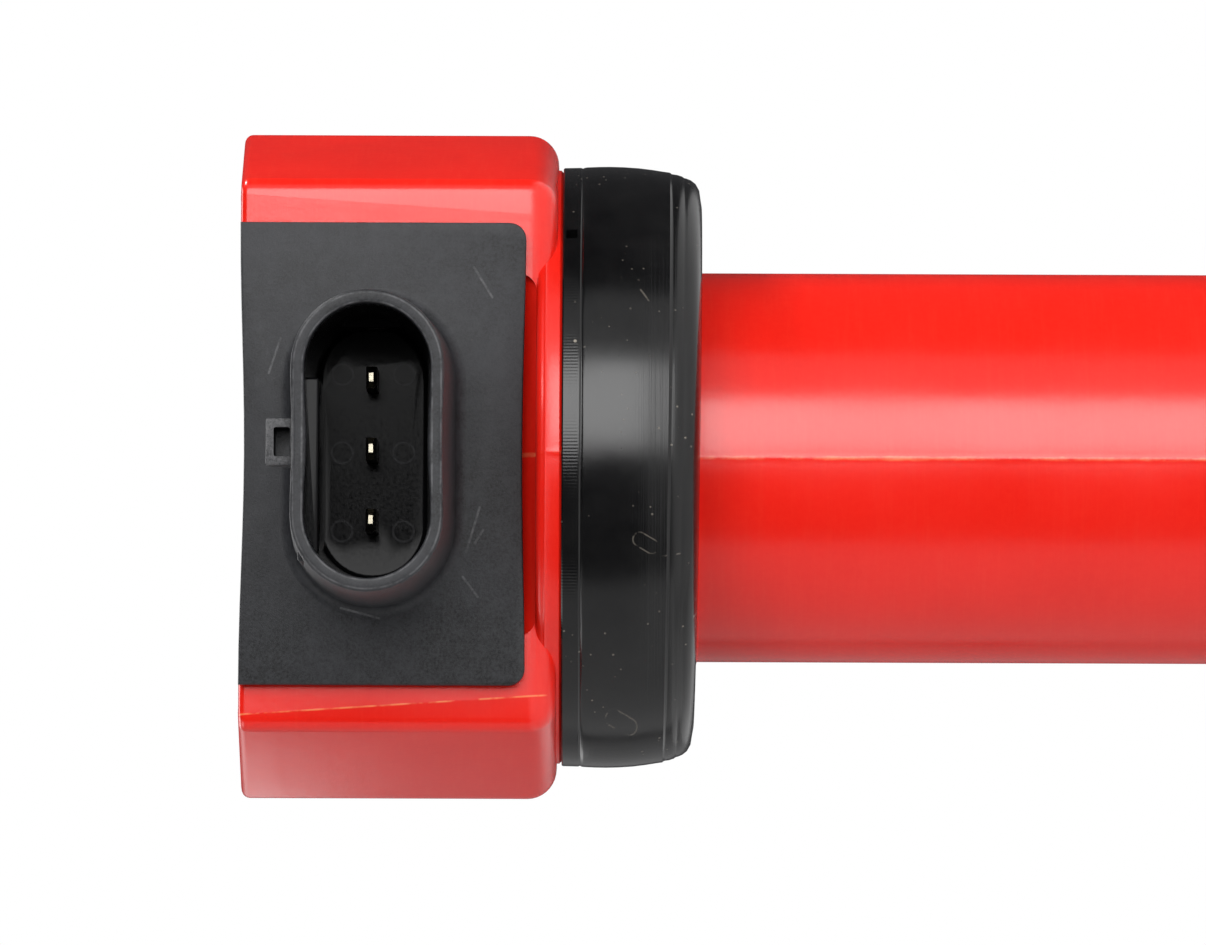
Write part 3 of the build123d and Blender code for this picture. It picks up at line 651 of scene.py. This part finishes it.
# ------------------------------------------------------------------ coil case
def head_loop(inset, z):
    """The head's outline at a height, moved inwards; its flat faces widen towards the top."""
    share = (z - head_bottom) / (head_top - head_bottom)
    face = face_half_width_bottom + share * (face_half_width_top - face_half_width_bottom)
    lean = atan2(head_half_width - crease_half_width, crease_depth)
    side_radius = 4.0
    widest = head_half_width + side_radius * (1 / cos(lean) - 1)
    right = [(crease_half_width, -crease_depth), (widest, 0), (crease_half_width, crease_depth)]
    right = inset_polygon(right + [(-x, y) for x, y in reversed(right)], inset)[:3]
    narrowest_band, face_corner = 0.4, 0.4
    face = min(face - 0.55 * inset, right[0][0] - narrowest_band)
    right = [(face, inset - face_depth), *right, (face, face_depth - inset)]
    corners = right + [(-x, y) for x, y in reversed(right)]
    crease_radius = min(1.05, 1.25 * (right[1][0] - face))
    radii = [face_corner, crease_radius, side_radius, crease_radius, face_corner] * 2
    # The rim dips to the plate's height at the front and back
    dip_height = 3.0
    rim_share = max(0.0, (z - head_top + dip_height) / dip_height)
    loop = []
    for x, y in rounded(corners, radii, 7):
        front_share = min(1.0, max(0.0, (abs(y) - 6.0) / 8.0))
        loop.append((x, y, z - (head_top - plate_top) * rim_share * front_share**2))
    return loop


def flash(radius, angle, z, height=0.022):
    """How far a moulding's parting line stands up, at the front and back generators."""
    half_width, reach = 0.16, 0.0
    for seam in (-pi / 2, pi / 2):
        away = abs((angle - seam + pi) % (2 * pi) - pi) * radius
        reach += exp(-((away / half_width) ** 2))
    ragged = 0.7 + 0.6 * noise.noise(Vector((0, pi / 2, z * 0.7)))
    return height * ragged * reach


def build_case():
    """Head cup, round flange, tube and nozzle as one red moulding."""
    underside, rim, lip = 1.8, 0.5, 0.35
    cavity_floor, bore_radius, tube_floor = head_bottom + wall, tube_radius - 1.3, tube_bottom + 3.0
    loops = []
    for step in range(10):
        turn = radians(90 * step / 9)
        loops.append(head_loop(underside * (1 - sin(turn)), head_bottom + underside * (1 - cos(turn))))
    for step in range(1, 8):
        low, high = head_bottom + underside, head_top - rim
        loops.append(head_loop(0, low + (high - low) * step / 8))
    for step in range(6):
        turn = radians(90 * step / 5)
        loops.append(head_loop(rim * (1 - cos(turn)), head_top - rim * (1 - sin(turn))))
    for step in range(5):
        turn = radians(90 * step / 4)
        loops.append(head_loop(wall - lip * (1 - sin(turn)), head_top - lip * (1 - cos(turn))))
    loops.append(head_loop(wall + 0.05, cavity_floor))
    case = loft("case_moulding", loops)

    flange_edge, flange_top, witness = 0.5, flange_bottom + flange_height, flange_bottom + 1.0
    top_edge = profile_arc((flange_radius - flange_edge, flange_top - flange_edge), flange_edge, 0, 90)
    disc_profile = [(0, flange_bottom), (flange_radius - 0.15, flange_bottom)]
    disc_profile += [(flange_radius, flange_bottom + 0.15), (flange_radius, witness - 0.1)]
    disc_profile += [(flange_radius + 0.04, witness), (flange_radius, witness + 0.05)]
    disc_profile += [*top_edge, (0, flange_top)]

    def flange_seam(radius, angle, z):
        return radius + flash(radius, angle, z, 0.05) * (radius > 10), z

    flange = revolve("flange", disc_profile, 240, (-90, 90), flange_seam)

    chamfer, land_radius, tube_top = 1.2, tube_radius + 0.4, cavity_floor - 0.8
    tube_profile = [(0, tube_top), (land_radius, tube_top), (land_radius, 0.1), (tube_radius, 0.0)]
    levels = 40
    tube_profile += [(tube_radius, (tube_bottom + chamfer) * (i + 1) / levels) for i in range(levels)]
    tube_profile += profile_arc((tube_radius - chamfer, tube_bottom + chamfer), chamfer, 0, -90)[1:]
    tube_profile += [(8.2, tube_bottom), (7.9, tube_bottom - 0.3), (7.3, nozzle_bottom + 1.0)]
    tube_profile += [(6.6, nozzle_bottom + 0.15), (6.3, nozzle_bottom), (0, nozzle_bottom)]

    def tube_seam(radius, angle, z):
        return radius + (flash(radius, angle, z) if radius > 8 and z < -0.8 else 0), z

    tube = revolve("tube", tube_profile, 200, (-90, 90), tube_seam)
    combine(case, [flange, tube], "UNION")
    bore_profile = [(0, cavity_floor + 0.6), (bore_radius, cavity_floor + 0.6), (bore_radius, tube_floor)]
    bore_profile += [(3.6, tube_floor), (3.6, nozzle_bottom - 1), (0, nozzle_bottom - 1)]
    hollow = revolve("hollow", bore_profile, 160)
    in_front = -17
    slot = block("slot", (-12.4, 12.4), (in_front, -11.6), (plate_bottom + 1.75, head_top + 1))
    # Shallow scoop in the flat face between the flange and the plate
    half, low, high = 10.9, flange_top, flange_top + 2.2
    outline = rounded([(-half, low), (half, low), (half, high), (-half, high)], [1.05] * 4, 8)
    slant = [(x, -face_depth + 0.25 + 0.5 * (z - low), z) for x, z in outline]
    scoop = loft("scoop", [[(x, in_front, z) for x, z in outline], slant])
    combine(case, [hollow, slot, scoop], "DIFFERENCE")
    return finish_piece(case, "red_moulding", "coil", "coil_case")


# ------------------------------------------------------------------ connector
def stadium(length, width, depth, bow=0.0):
    """An oval loop at a depth: round ends, long sides that may bow inwards."""
    radius = width / 2
    reach = length / 2 - radius
    steps, side = 20, 10
    loop = []
    for sign in (1, -1):
        for step in range(steps + 1):
            turn = radians(-90 + 180 * step / steps)
            loop.append((sign * (reach + radius * cos(turn)), sign * radius * sin(turn)))
        for step in range(1, side):
            x = reach * (1 - 2 * step / side)
            inward = bow * cos(pi * x / (2 * reach)) ** 2
            loop.append((sign * x, sign * (radius - inward)))
    return [(x, -depth, socket_z + z) for x, z in loop]


def plate_loop(inset, depth):
    """The plate's outline: lower corners rounded, upper and lower edges bowed inwards."""
    corner, steps = 1.0, 12
    half, low, high = plate_half_width - inset, plate_bottom + inset, plate_top - inset
    loop = []
    for step in range(steps + 1):
        x = (half - corner) * (2 * step / steps - 1)
        loop.append((x, low + 0.2 * cos(pi * x / (2 * half)) ** 2))
    loop += profile_arc((half - corner, low + corner), corner, -90, 0, 8)[1:]
    for step in range(steps + 1):
        x = half * (1 - 2 * step / steps)
        loop.append((x, high - 0.28 * cos(pi * x / (2 * half)) ** 2))
    loop += profile_arc((-half + corner, low + corner), corner, 180, 270, 8)[:-1]
    return [(x, -depth, z) for x, z in loop]


def prism(name, outline, x_limits, edge):
    """A solid with an outline in the YZ plane, between two X limits, with rounded edges."""
    return bevel(loft(name, [[(x, y, z) for y, z in outline] for x in x_limits]), edge, 2)


def build_connector():
    """Matt black plate, neck and inner flange with the oval shroud, its coding and its barb."""
    edge = 0.14
    loops = [plate_loop(0, face_depth + 0.01), plate_loop(0, plate_face - edge)]
    loops += [plate_loop(edge * 0.3, plate_face - edge * 0.3), plate_loop(edge, plate_face)]
    body = loft("connector_moulding", loops, sharp_angle=50)

    root, outer_edge, inner_edge, shell = 0.85, 0.28, 0.22, 0.8
    base, rim = (18.5, 9.8), (17.7, 9.0)
    shroud = [stadium(base[0] + 2 * root, base[1] + 2 * root, plate_face - 0.5)]
    for step in range(9):
        turn = radians(90 * step / 8)
        grown = 2 * root * (1 - sin(turn))
        depth = plate_face - 0.012 + root * (1 - cos(turn))
        shroud.append(stadium(base[0] + grown, base[1] + grown, depth))
    for step in range(1, 8):
        share = step / 8
        depth = plate_face + root + (rim_depth - outer_edge - plate_face - root) * share
        length, width = (b + (r - b) * share for b, r in zip(base, rim))
        shroud.append(stadium(length, width, depth, 0.10 * share))
    for step in range(6):
        turn = radians(90 * step / 5)
        drop = 2 * outer_edge * (1 - cos(turn))
        depth = rim_depth - outer_edge * (1 - sin(turn))
        shroud.append(stadium(rim[0] - drop, rim[1] - drop, depth, 0.1))
    mouth = (rim[0] - 2 * shell, rim[1] - 2 * shell)
    for step in range(5):
        turn = radians(90 * step / 4)
        grown = 2 * inner_edge * (1 - sin(turn))
        depth = rim_depth - inner_edge * (1 - cos(turn))
        shroud.append(stadium(mouth[0] + grown, mouth[1] + grown, depth, 0.16))
    floor_size = (mouth[0] - 0.9, mouth[1] - 0.9)
    for step in range(1, 9):
        share = step / 8
        depth = rim_depth - inner_edge + (socket_floor + 0.3 - rim_depth + inner_edge) * share
        length, width = (m + (f - m) * share for m, f in zip(mouth, floor_size))
        shroud.append(stadium(length, width, depth, 0.16 * (1 - share)))
    for step in range(1, 5):
        turn = radians(90 * step / 4)
        drop = 0.6 * (1 - cos(turn))
        depth = socket_floor + 0.3 * (1 - sin(turn))
        shroud.append(stadium(floor_size[0] - drop, floor_size[1] - drop, depth))
    shell_piece = loft("shroud", shroud)
    neck_z = (plate_bottom + 1.85, plate_top - 0.6)
    neck = block("neck", (-12.3, 12.3), (-face_depth - 0.4, -12.7), neck_z, 0.1)
    flange_z = (plate_bottom + 0.75, potting_high[2])
    flange = block("flange", (-13.0, 13.0), (-12.76, -11.62), flange_z, 0.1)
    rib = block("rib", (-7.0, 3.8), (-28.0, -16.0), (socket_z + 2.85, socket_z + 4.1), 0.18)
    ledge_outline = profile_arc((socket_reach, 0), 3.62, -38, 38, 14)
    ledge_ends = (-16.0, -21.0)
    ledge = loft("ledge", [[(x, y, socket_z + z) for x, z in ledge_outline] for y in ledge_ends])
    bevel(ledge, 0.15, 2)
    low, high, front = barb_bottom, barb_bottom + 1.78, -barb_front
    barb_outline = [(front, low), (front, high), (front + 1.5, high), (front + 4.2, low)]
    barb = prism("barb", barb_outline, (-1.38, 1.38), 0.1)
    pocket = block("pocket", (-0.86, 0.86), (front - 1, front + 1.5), (low + 0.36, low + 1.32), 0.12)
    combine(barb, [pocket], "DIFFERENCE")
    combine(body, [shell_piece, neck, flange, rib, ledge, barb], "UNION", 40)
    hollows = []
    mark_depths = (-socket_floor - 0.6, -socket_floor + 0.07)
    for centre in pin_mark_places:
        outline = profile_arc(centre, 0.68, 0, 348.75, 31)
        hollows.append(loft("mark", [[(x, y, z) for x, z in outline] for y in mark_depths]))
    slot_z = (socket_z - 0.34, socket_z + 0.34)
    for x in (4.23, 0.0, -4.23):
        hollows.append(block("blade_slot", (x - 0.67, x + 0.67), (-18, -11), slot_z))
    combine(body, hollows, "DIFFERENCE", 40)
    return finish_piece(body, "black_moulding", "coil", "connector_body")


# ------------------------------------------------------------------ seal, boot and contact
def build_seal():
    """Hollow rubber ring that sits very slightly askew under the head."""
    # Each stretch is how far the rubber lies inside the seal's radius, and its height
    band = [(0.15, flange_bottom), (0.10, flange_bottom - 0.08), (0.08, 7.30), (0.09, 7.22), (0.12, 7.17)]
    crown = [(0.12, 7.12), (0.08, 7.06), (0.05, 6.9), (0.02, 6.2), (0.01, 5.5), (0.03, 4.7), (0.09, 3.8)]
    crown += [(0.19, 3.0), (0.30, 2.3), (0.35, 1.94)]
    lip = [(0.41, 1.86), (0.45, 1.80), (0.46, 1.72), (0.49, 1.5), (0.59, 1.2), (0.65, 1.12)]
    lip += [(0.69, 1.05), (0.71, 0.94), (0.83, 0.66), (1.05, 0.38), (1.45, 0.16), (2.05, 0.07)]
    outside = [(seal_radius - inside, z) for inside, z in band + crown + lip]
    bore_wall = [(12.43, 0.0), (12.43, flange_bottom)]
    groove = [(16.1, 0.0), (15.7, 0.0), (15.52, 0.12), (15.5, 0.4), (15.5, 5.6), (15.3, 5.95)]
    groove += [(14.75, 6.1), (14.2, 5.95), (14.0, 5.6), (14.0, 0.4), (13.9, 0.12), (13.7, 0.0)]
    askew = sin(radians(0.7))

    def shape(radius, angle, z):
        return radius, z - askew * radius * cos(angle) * (1 - z / flange_bottom)

    seal = revolve("seal_ring", bore_wall + outside + groove, 300, (), shape, 28)
    notch_x, notch_radius, notch_z = 13.4, seal_radius - 0.19, flange_bottom - 0.55
    notch_y = -sqrt(notch_radius**2 - notch_x**2)
    notch = block("notch", (-1.6, 0.6), (-0.42, 0.42), (-0.34, 0.34), 0.08)
    to_rim = Matrix.Translation(Vector((notch_x, notch_y, notch_z)) * MM)
    notch.data.transform(to_rim @ Matrix.Rotation(atan2(notch_y, notch_x), 4, "Z"))
    combine(seal, [notch], "DIFFERENCE", 28)
    return finish_piece(seal, "seal_rubber", "coil", "well_seal")


def build_boot():
    """Silicone boot: collar, three grip ribs, a waist and a thick sealing lip."""
    top, bottom = boot_high[2], boot_low[2]
    collar, body_radius = boot_high[0], 10.2
    bore_radius = mounts["plug_bore"]["dims"]["r_mm"]
    passage, bore_top = 3.8, -121.5
    profile = [(7.95, top), (collar - 0.7, top)]
    profile += profile_arc((collar - 0.7, top - 0.7), 0.7, 90, 0, 5)[1:]
    profile += [(collar, top - 5.4), *profile_arc((collar - 0.6, top - 5.4), 0.6, 0, -60, 4)[1:]]
    profile += [(body_radius + 0.05, top - 6.9), (body_radius, top - 7.6)]
    for index in range(3):
        middle = top - 10.5 - index * 3.2
        for step in range(9):
            away = (step / 8 - 0.5) * 2
            profile.append((body_radius + 0.44 * cos(away * pi / 2) ** 0.8, middle - 0.62 * away))
    lip_radius = body_radius + 0.3
    profile += [(body_radius - 0.1, top - 20), (body_radius - 0.35, top - 30)]
    profile += [(body_radius - 0.6, bottom + 9.4), (body_radius - 0.45, bottom + 8.4)]
    profile += [(body_radius, bottom + 7.2), (lip_radius - 0.05, bottom + 6.4)]
    profile += [(lip_radius, bottom + 5.4), (lip_radius, bottom + 0.9)]
    profile += profile_arc((lip_radius - 0.8, bottom + 0.8), 0.8, 0, -90, 5)[1:]
    profile += [(bore_radius + 1.2, bottom), (bore_radius + 0.8, bottom + 0.15)]
    profile += [(bore_radius + 0.15, bottom + 0.9), (bore_radius, bottom + 1.3)]
    profile += [(bore_radius, bore_top - 0.1), (passage + 0.1, bore_top + 1.1)]
    profile += [(passage, bore_top + 1.5), (passage, nozzle_bottom - 0.3), (6.35, nozzle_bottom - 0.3)]
    profile += [(7.35, nozzle_bottom + 0.8)]

    def seam(radius, angle, z):
        return radius + flash(radius, angle, z, 0.05) * (radius > 9), z

    boot = revolve("boot_moulding", profile, 180, (-90, 90), seam)
    return finish_piece(boot, "boot_silicone", "boot", "plug_boot")


def build_spring():
    """Compression spring with closed end turns."""
    wire = 0.34
    coil = spring_high[0] - wire
    low, high = spring_low[2] + wire, spring_high[2] - wire
    turns, dead, per_turn, sides = 9.0, 1.0, 40, 12
    pitch_span = high - low - 2 * dead * 2 * wire
    loops = []
    for step in range(int(turns * per_turn) + 1):
        turn = step / per_turn
        if turn < dead:
            z = low + 2 * wire * turn
        elif turn > turns - dead:
            z = high - 2 * wire * (turns - turn)
        else:
            z = low + 2 * wire * dead + pitch_span * (turn - dead) / (turns - 2 * dead)
        radial = Vector((cos(2 * pi * turn), sin(2 * pi * turn), 0))
        loop = []
        for side in range(sides):
            roll = 2 * pi * side / sides
            rise = Vector((0, 0, z + wire * sin(roll)))
            loop.append(tuple(radial * (coil + wire * cos(roll)) + rise))
        loops.append(loop)
    spring = loft("spring_coil", loops, sharp_angle=60)
    finish_piece(spring, "spring_steel", "coil", "contact_spring")
    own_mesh(spring)
    return spring


def build_cap():
    """Drawn steel cup on the spring's lower end, dished for the plug's terminal."""
    radius, low, high = cap_high[0], cap_low[2], cap_high[2]
    profile = [(0, low + 0.35), (1.2, low + 0.32), (2.0, low + 0.05), (2.3, low)]
    profile += profile_arc((radius - 0.6, low + 0.6), 0.6, -90, 0, 6)
    profile += [(radius, high - 0.3), *profile_arc((radius - 0.2, high - 0.2), 0.2, 0, 180, 6)]
    profile += [(radius - 0.4, low + 1.2), (radius - 0.7, low + 1.0), (0, low + 1.0)]
    cap = revolve("cap_cup", profile, 96)
    return finish_piece(cap, "cap_steel", "contact", "contact_cap")


def build_resin_surface():
    """The poured resin's top skin, drawn up a little along the walls."""
    level = potting_high[2]
    loops = [head_loop(wall + 0.06, level - 0.15)]
    for inset in (0.06, 0.12, 0.25, 0.5, 0.9, 1.5, 2.5, 4.0, 6.0, 8.0, 10.0):
        loop = []
        for x, y, _ in head_loop(wall + inset, level):
            climb = 0.32 * exp(-inset / 0.35) + 0.05 * noise.noise(Vector((x, y, 3)) * 0.16)
            loop.append((x, y, level + 0.06 + climb))
        loops.append(loop)
    skin = loft("resin_surface", loops)
    return finish_piece(skin, "resin", "coil")


build_case()
build_connector()
build_seal()
build_boot()
build_spring()
build_cap()
build_resin_surface()

slot_of = {part["node"]: part["material_slot"] for part in frame["record"]["subparts"]}
for node, obj in frame["nodes"].items():
    for place_of_material in obj.material_slots:
        place_of_material.link = "OBJECT"
        place_of_material.material = MATERIALS[slot_of[node]]


# ------------------------------------------------------------------ floor, camera and light
def build_floor():
    """A plain pale floor, low enough to stay clear of the pulled boot."""
    level, radius = boot_low[2] - travel["boot_pull"] - 1.0, 600
    points = [(radius * cos(t * pi / 48), radius * sin(t * pi / 48), level) for t in range(96)]
    floor = mesh_object("floor", points, [tuple(range(96))])
    mat = material("floor", (0.86, 0.86, 0.86), 0.7, 0.3)[0]
    floor.data.materials.append(mat)


def add_softbox(name, where, target, size, radiance):
    """A rectangular area light of a given brightness; where, target and size in millimetres."""
    light = bpy.data.lights.new(name, "AREA")
    light.shape = "RECTANGLE"
    light.size, light.size_y = size[0] * MM, size[1] * MM
    light.energy = radiance * pi * light.size * light.size_y
    lamp = bpy.data.objects.new(name, light)
    lamp.visible_camera = False
    lamp.location = Vector(where) * MM
    aim = (Vector(target) - Vector(where)).normalized()
    lamp.rotation_euler = aim.to_track_quat("-Z", "Y").to_euler()
    bpy.context.scene.collection.objects.link(lamp)
    return lamp


def around(angle, distance, z=0.0):
    """A place at an angle from -Y towards +X, round the tube's axis."""
    return (distance * sin(radians(angle)), -distance * cos(radians(angle)), z)


def build_lights():
    """A tall softbox to the camera's +X side, a pale table to its -X side and weak fills."""
    centre = (0, 0, 0)
    add_softbox("key", around(21.2, 620), centre, (374, 900), 5.3)
    add_softbox("fill", around(53, 640), centre, (320, 900), 0.6)
    add_softbox("top", around(105, 520, 420), (0, 0, -10), (150, 150), 41)
    add_softbox("left", around(-88, 350, 380), (0, 0, 10), (260, 260), 2.2)
    add_softbox("table", around(-86, 300, -20), centre, (500, 900), 0.52)
    add_softbox("low", around(-148, 300), centre, (200, 900), 0.24)
    add_softbox("behind", around(-146, 200, 152), (-20, 0, 24), (70, 290), 1.0)
    add_softbox("back", around(186, 480, 520), (0, 0, -30), (420, 320), 3.2)
    world = bpy.data.worlds.new("studio")
    bpy.context.scene.world = world
    world.use_nodes = True
    tree = world.node_tree
    background = tree.nodes["Background"]
    path = tree.nodes.new("ShaderNodeLightPath")
    shade = blend_colours(tree, path.outputs["Is Camera Ray"], (0.055, 0.055, 0.058), (1.0, 1.0, 1.0))
    tree.links.new(shade, background.inputs["Color"])


def build_camera():
    """Looks along +Y with the tube lying across the picture, head to the left."""
    azimuth, distance, lean = radians(-2.87), 545.0, radians(0.22)
    aim = Vector((-0.34, 0.0, 5.82))
    forward = Vector((-sin(azimuth), cos(azimuth), 0))
    up = Vector((cos(azimuth), sin(azimuth), 0))
    right = forward.cross(up)
    right, up = right * cos(lean) + up * sin(lean), up * cos(lean) - right * sin(lean)
    camera = bpy.data.objects.new("camera", bpy.data.cameras.new("camera"))
    camera.data.sensor_width = 36.0
    camera.data.lens = 263.5
    camera.data.clip_start = 0.05
    camera.matrix_world = Matrix.Translation((aim - forward * distance) * MM) @ Matrix(
        (right, up, -forward)
    ).transposed().to_4x4()
    bpy.context.scene.collection.objects.link(camera)
    bpy.context.scene.camera = camera


build_floor()
build_lights()
build_camera()
bpy.context.scene.view_settings.view_transform = "Standard"
